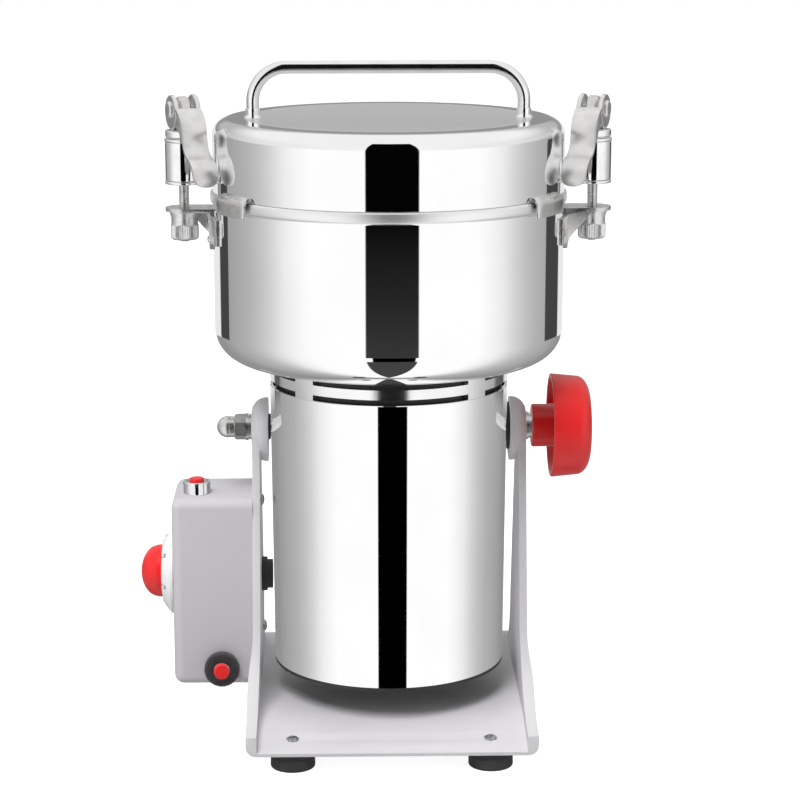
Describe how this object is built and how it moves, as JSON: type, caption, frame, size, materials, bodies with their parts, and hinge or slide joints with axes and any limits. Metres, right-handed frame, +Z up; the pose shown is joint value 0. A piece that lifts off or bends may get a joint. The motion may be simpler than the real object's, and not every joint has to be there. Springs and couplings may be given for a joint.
{
  "type": "electric grain mill",
  "caption": "Tilting electric grain mill: polished bowl and motor hung in a grey U-shaped stand, clamped lift-off lid with bar handle, red locking knob and side control box.",
  "frame": {"origin": "middle of the whole mill's outline, on the table", "axes": "+Z up, +X towards the hand knob, the front with the apron at -Y"},
  "size_m": [0.2638, 0.196, 0.3754],
  "materials": {
    "cast_paint": "satin light grey paint on cast aluminium",
    "box_paint": "satin light grey paint on pressed steel",
    "foot_rubber": "dark rubber",
    "black_rubber": "black rubber",
    "steel_screw": "plain steel screws",
    "mirror_steel": "stainless steel polished like a mirror",
    "lid_steel": "stainless steel, mirror side and satin top",
    "nickel": "nickel-plated steel",
    "zinc": "zinc-plated steel",
    "satin_steel": "satin stainless steel",
    "chrome_ring": "chromed ring",
    "aluminium_nut": "bright aluminium, knurled",
    "red_plastic": "glossy red plastic",
    "dial_plastic": "pale grey plastic",
    "black_plastic": "black moulded plastic",
    "dark_cap": "black bottom cap",
    "cast_alloy": "cast alloy, unpainted",
    "bearing_steel": "bearing steel",
    "lamination": "stacked electrical sheet",
    "copper": "lacquered copper wire",
    "brass": "brass",
    "silicone": "white silicone",
    "blade_steel": "ground stainless steel"
  },
  "bodies": {
    "frame": {"stand": "cast_paint", "feet": "foot_rubber", "foot_screws": "steel_screw", "control_box": "box_paint", "box_screws": "steel_screw", "cable_grommet": "black_rubber", "cord_gland": "black_plastic", "dial_plate": "dial_plastic", "timer_body": "black_plastic", "start_ring": "chrome_ring", "start_switch": "black_plastic", "reset_ring": "black_plastic", "breaker_body": "black_plastic"},
    "head": {"motor_tube": "mirror_steel", "motor_cap": "dark_cap", "cap_screws": "steel_screw", "vent_ring": "satin_steel", "bearing_plate": "cast_alloy", "bearings": "bearing_steel", "stator": "lamination", "field_coils": "copper", "brushes": "brass", "pivot_studs": "zinc", "pivot_spacers": "black_rubber", "pivot_washers": "zinc", "acorn_nut": "nickel", "bowl": "mirror_steel", "shaft_seal": "satin_steel", "clamp_brackets": "nickel", "bracket_rivets": "nickel"},
    "rotor": {"shaft": "bearing_steel", "rotor_core": "lamination", "commutator": "copper", "fan": "black_plastic", "lower_blade": "blade_steel", "upper_blade": "blade_steel", "blade_nut": "satin_steel"},
    "lid": {"lid": "lid_steel", "lid_seal": "silicone", "lid_lugs": "nickel", "handle": "mirror_steel"},
    "left_clamp": {"left_eye_bolt": "zinc", "left_sleeve": "nickel", "left_washers": "zinc", "left_springs": "bearing_steel"},
    "left_lever": {"left_lever": "nickel", "left_pin": "nickel"},
    "left_nut": {"left_nut": "aluminium_nut"},
    "right_clamp": {"right_eye_bolt": "zinc", "right_sleeve": "nickel", "right_washers": "zinc", "right_springs": "bearing_steel"},
    "right_lever": {"right_lever": "nickel", "right_pin": "nickel"},
    "right_nut": {"right_nut": "aluminium_nut"},
    "hand_knob": {"hand_knob": "red_plastic", "knob_insert": "brass"},
    "timer_knob": {"timer_knob": "red_plastic"},
    "start_button": {"start_button": "red_plastic"},
    "reset_button": {"reset_button": "red_plastic"}
  },
  "joints": [
    {"name": "head_tilt", "type": "hinge", "parent": "frame", "child": "head", "pos_m": [0.0092, 0, 0.1718], "axis": [1, 0, 0], "range_deg": [-90, 100]},
    {"name": "rotor_spin", "type": "hinge", "parent": "head", "child": "rotor", "pos_m": [0.0092, 0, 0.2], "axis": [0, 0, 1], "continuous": true},
    {"name": "lid_lift", "type": "slide", "parent": "head", "child": "lid", "axis": [0, 0, 1], "range_m": [0, 0.06]},
    {"name": "left_clamp_swing", "type": "hinge", "parent": "head", "child": "left_clamp", "pos_m": [-0.1031, 0, 0.3], "axis": [0, 0, -1], "range_deg": [0, 110]},
    {"name": "left_lever_tilt", "type": "hinge", "parent": "left_clamp", "child": "left_lever", "pos_m": [-0.1031, 0, 0.3493], "axis": [-0.9272, -0.3746, 0], "range_deg": [0, 100]},
    {"name": "left_nut_turn", "type": "hinge", "parent": "left_clamp", "child": "left_nut", "pos_m": [-0.1031, 0, 0.286], "axis": [0, 0, 1], "continuous": true},
    {"name": "right_clamp_swing", "type": "hinge", "parent": "head", "child": "right_clamp", "pos_m": [0.1215, 0, 0.3], "axis": [0, 0, 1], "range_deg": [0, 110]},
    {"name": "right_lever_tilt", "type": "hinge", "parent": "right_clamp", "child": "right_lever", "pos_m": [0.1215, 0, 0.3493], "axis": [-0.9272, 0.3746, 0], "range_deg": [0, 100]},
    {"name": "right_nut_turn", "type": "hinge", "parent": "right_clamp", "child": "right_nut", "pos_m": [0.1215, 0, 0.286], "axis": [0, 0, 1], "continuous": true},
    {"name": "hand_knob_turn", "type": "hinge", "parent": "head", "child": "hand_knob", "pos_m": [0.1042, 0, 0.1718], "axis": [1, 0, 0], "continuous": true},
    {"name": "timer_turn", "type": "hinge", "parent": "frame", "child": "timer_knob", "pos_m": [-0.1208, 0.0035, 0.087], "axis": [1, 0, 0], "range_deg": [0, 300]},
    {"name": "start_press", "type": "slide", "parent": "frame", "child": "start_button", "axis": [0, 0, -1], "range_m": [0, 0.0025], "stiffness_N_per_m": 600, "springref_m": -0.001},
    {"name": "reset_press", "type": "slide", "parent": "frame", "child": "reset_button", "axis": [0, 1, 0], "range_m": [0, 0.002], "stiffness_N_per_m": 600, "springref_m": -0.001}
  ]
}
